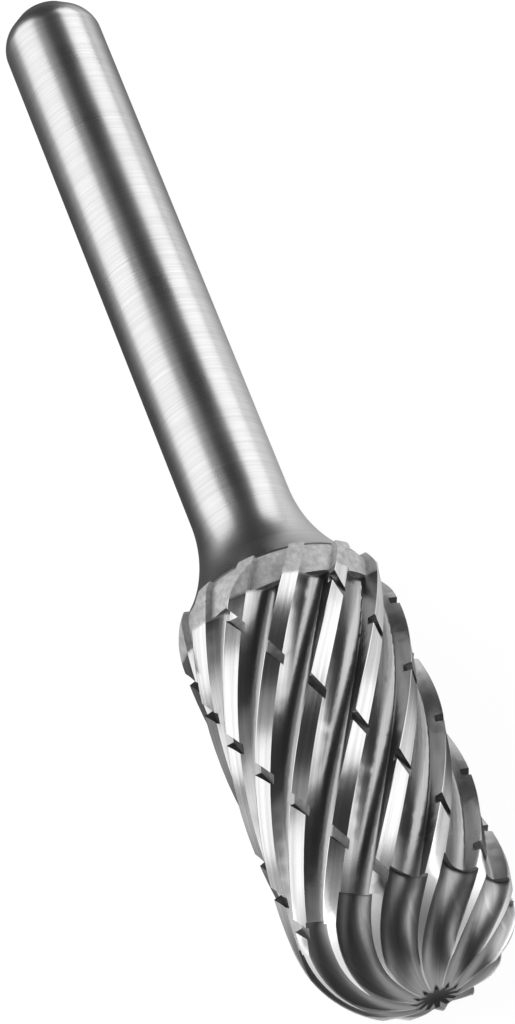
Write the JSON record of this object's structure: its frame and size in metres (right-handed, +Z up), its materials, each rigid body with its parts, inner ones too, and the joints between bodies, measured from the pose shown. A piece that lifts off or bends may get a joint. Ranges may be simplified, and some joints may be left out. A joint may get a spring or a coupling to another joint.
{
  "type": "carbide burr",
  "caption": "Rotary cutting burr with a ball-nosed fluted carbide head, spiral chip breakers and a plain round steel shank for a collet.",
  "frame": {"origin": "centre of the shank's end face", "axes": "+X along the burr's axis from the shank to the nose, +Z up from the surface that it lies on"},
  "size_m": [0.0696, 0.0126, 0.0126],
  "materials": {
    "shank_steel": "ground",
    "braze_alloy": "dull",
    "carbide": "bright ground"
  },
  "bodies": {
    "root": {"shank": "shank_steel", "braze_joint": "braze_alloy", "cutting_head": "carbide"}
  },
  "joints": []
}
